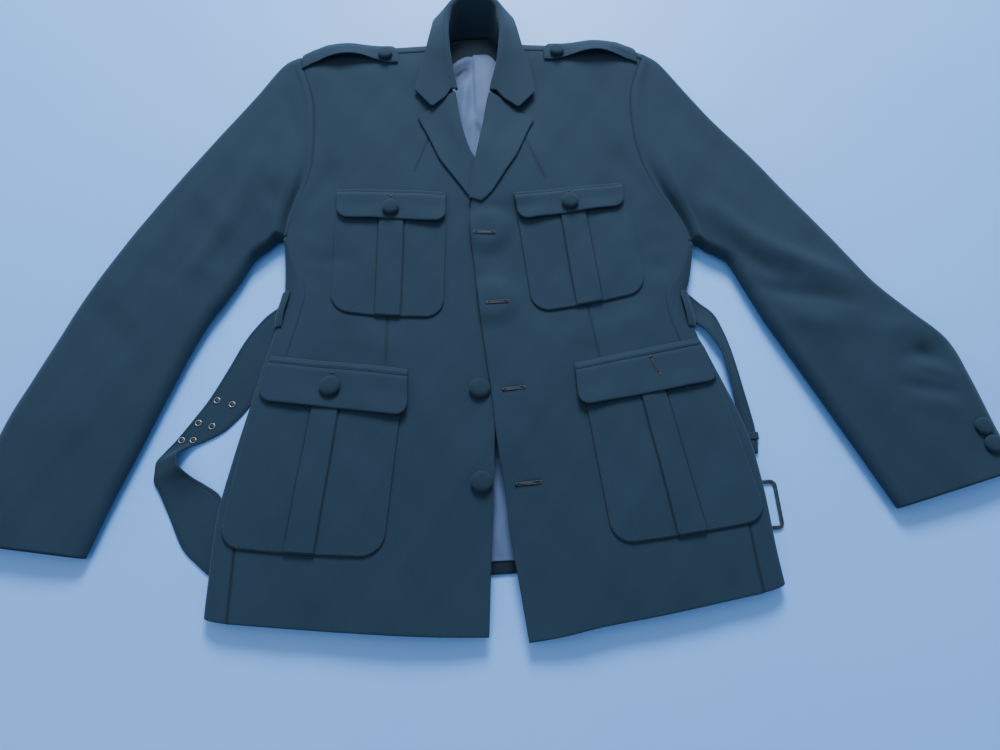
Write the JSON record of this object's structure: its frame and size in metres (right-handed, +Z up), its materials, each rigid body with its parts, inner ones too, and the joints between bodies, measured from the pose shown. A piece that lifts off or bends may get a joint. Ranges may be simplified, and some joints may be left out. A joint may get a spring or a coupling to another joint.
{
  "type": "safari jacket",
  "caption": "Belted safari jacket laid flat on its back with its sleeves spread, notched lapels, shoulder straps, flapped patch pockets and an open waist belt.",
  "frame": {"origin": "middle of the jacket's outline, on the surface it lies on", "axes": "+X towards the wearer's left sleeve, +Y towards the collar, +Z up from the surface"},
  "size_m": [1.116, 0.8382, 0.0557],
  "materials": {
    "wool_twill": "matt, fine twill weave",
    "covered_button": "matt",
    "lining_satin": "soft sheen",
    "dark_metal": "dark, satin"
  },
  "bodies": {
    "root": {"back": "wool_twill", "belt_buckle": "dark_metal", "belt_eyelet_1": "dark_metal", "belt_eyelet_2": "dark_metal", "belt_eyelet_3": "dark_metal", "belt_eyelet_4": "dark_metal", "belt_eyelet_5": "dark_metal", "belt_eyelet_6": "dark_metal", "belt_keeper": "wool_twill", "belt_left": "wool_twill", "belt_loop_left": "wool_twill", "belt_loop_right": "wool_twill", "belt_right": "wool_twill", "button_chest_left": "covered_button", "button_chest_right": "covered_button", "button_cuff_left_1": "covered_button", "button_cuff_left_2": "covered_button", "button_cuff_right_1": "covered_button", "button_cuff_right_2": "covered_button", "button_front_1": "covered_button", "button_front_2": "covered_button", "button_front_3": "covered_button", "button_front_4": "covered_button", "button_lower_right": "covered_button", "button_strap_left": "covered_button", "button_strap_right": "covered_button", "chest_flap_left": "wool_twill", "chest_flap_right": "wool_twill", "chest_pocket_left": "wool_twill", "chest_pocket_right": "wool_twill", "collar": "wool_twill", "front_left": "wool_twill", "front_right": "wool_twill", "lapel_left": "wool_twill", "lapel_right": "wool_twill", "lining_back": "lining_satin", "lower_flap_left": "wool_twill", "lower_flap_right": "wool_twill", "lower_pocket_left": "wool_twill", "lower_pocket_right": "wool_twill", "neck_facing": "wool_twill", "shoulder_strap_left": "wool_twill", "shoulder_strap_right": "wool_twill", "side_left": "wool_twill", "side_right": "wool_twill", "under_sleeve_left": "wool_twill", "under_sleeve_right": "wool_twill", "upper_sleeve_left": "wool_twill", "upper_sleeve_right": "wool_twill"}
  },
  "joints": []
}
